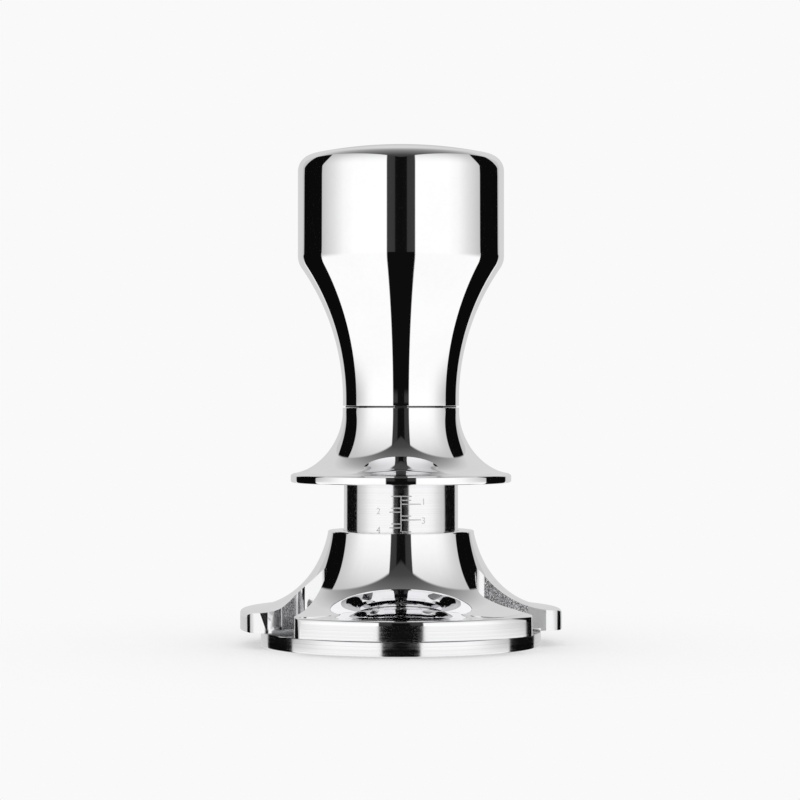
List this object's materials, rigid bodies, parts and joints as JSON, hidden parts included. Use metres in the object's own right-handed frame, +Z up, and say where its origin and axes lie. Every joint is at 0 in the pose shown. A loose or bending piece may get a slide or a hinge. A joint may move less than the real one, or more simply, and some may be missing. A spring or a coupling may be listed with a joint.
{
  "type": "espresso tamper",
  "caption": "Polished steel espresso tamper with a spring-calibrated handle, a flared collar, a depth scale and a slotted self-levelling bell.",
  "frame": {"origin": "centre of the tamping face, on the tamper's axis", "axes": "+Z up the tamper's axis, from the tamping face to the handle; -Y towards the viewer of the reference view"},
  "size_m": [0.067, 0.0665, 0.104],
  "materials": {
    "polished_steel": "mirror polished stainless steel",
    "sleeve_steel": "polished steel with fine turned lines and a frosted scale",
    "base_steel": "polished steel with fine turned lines",
    "turned_steel": "turned, satin",
    "spring_steel": "drawn wire and pressed strip",
    "bronze": "plain bearing bronze",
    "nylon": "natural, matt",
    "black_rubber": "matt"
  },
  "bodies": {
    "base": {"tamping_base": "base_steel", "centre_shaft": "turned_steel", "stud_lock_washer": "spring_steel", "base_bumper": "black_rubber", "levelling_spring_stop": "turned_steel", "shaft_circlip": "spring_steel", "spring_piston": "turned_steel", "piston_ring": "black_rubber", "shaft_nut": "turned_steel"},
    "handle": {"handle_grip": "polished_steel", "collar": "polished_steel", "seam_gasket": "black_rubber", "neck_bush": "nylon", "spring_cap": "turned_steel", "main_spring": "spring_steel"},
    "leveller": {"guide_bush": "bronze", "bush_circlip": "spring_steel", "thrust_washer": "nylon", "levelling_spring": "spring_steel"},
    "bell": {"levelling_bell": "polished_steel", "scale_sleeve": "sleeve_steel", "sleeve_seal": "black_rubber"}
  },
  "joints": [
    {"name": "handle_press", "type": "slide", "parent": "base", "child": "handle", "axis": [0, 0, -1], "range_m": [0, 0.003], "stiffness_N_per_m": 10000, "springref_m": -0.013, "deforming": ["main_spring"]},
    {"name": "leveller_lift", "type": "slide", "parent": "base", "child": "leveller", "axis": [0, 0, 1], "range_m": [0, 0.006], "stiffness_N_per_m": 800, "springref_m": -0.012, "deforming": ["levelling_spring"]},
    {"name": "bell_spin", "type": "hinge", "parent": "leveller", "child": "bell", "pos_m": [0, 0, 0.015], "axis": [0, 0, 1], "continuous": true}
  ]
}
